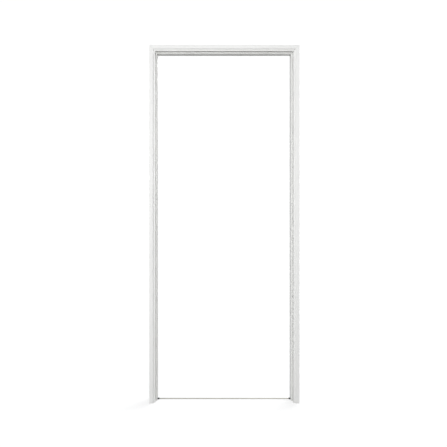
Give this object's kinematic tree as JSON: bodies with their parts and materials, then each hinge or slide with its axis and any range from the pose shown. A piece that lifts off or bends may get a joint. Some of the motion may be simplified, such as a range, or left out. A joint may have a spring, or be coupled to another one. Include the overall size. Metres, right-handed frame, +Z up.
{
  "type": "upvc door frame",
  "caption": "White door frame with no sill, of mitred multi-chamber bar with a moulded face, a rebate and sealed stop for the leaf, steel stiffening, corner brackets and a tie bar at its feet.",
  "frame": {"origin": "on the floor, midway between the jambs and midway between the front and back faces", "axes": "+X to the right as seen from the rebated front face, +Y through the doorway towards the plain back face, +Z up along the jambs"},
  "size_m": [0.88, 0.1, 2.1],
  "materials": {
    "white_upvc": "smooth white extruded uPVC, satin gloss",
    "seal": "off-white matt thermoplastic rubber",
    "galvanised_steel": "galvanised steel strip",
    "zinc_plate": "bright zinc plated steel",
    "black_nylon": "moulded black nylon"
  },
  "bodies": {
    "root": {"jamb_left": "white_upvc", "head": "white_upvc", "jamb_right": "white_upvc", "seal_left": "seal", "seal_head": "seal", "seal_right": "seal", "reinforcement_left": "galvanised_steel", "reinforcement_head": "galvanised_steel", "reinforcement_right": "galvanised_steel", "reinforcement_screw_left_1": "zinc_plate", "reinforcement_screw_left_2": "zinc_plate", "reinforcement_screw_left_3": "zinc_plate", "reinforcement_screw_left_4": "zinc_plate", "reinforcement_screw_left_5": "zinc_plate", "reinforcement_screw_head_1": "zinc_plate", "reinforcement_screw_head_2": "zinc_plate", "reinforcement_screw_head_3": "zinc_plate", "reinforcement_screw_right_1": "zinc_plate", "reinforcement_screw_right_2": "zinc_plate", "reinforcement_screw_right_3": "zinc_plate", "reinforcement_screw_right_4": "zinc_plate", "reinforcement_screw_right_5": "zinc_plate", "corner_bracket_left_front": "galvanised_steel", "corner_bracket_left_back": "galvanised_steel", "corner_bracket_right_front": "galvanised_steel", "corner_bracket_right_back": "galvanised_steel", "bracket_screw_left_front_jamb": "zinc_plate", "bracket_screw_left_front_head": "zinc_plate", "bracket_screw_left_back_jamb": "zinc_plate", "bracket_screw_left_back_head": "zinc_plate", "bracket_screw_right_front_head": "zinc_plate", "bracket_screw_right_front_jamb": "zinc_plate", "bracket_screw_right_back_head": "zinc_plate", "bracket_screw_right_back_jamb": "zinc_plate", "tie_bar_clip_left": "black_nylon", "tie_bar_clip_right": "black_nylon", "tie_bar": "galvanised_steel"}
  },
  "joints": []
}
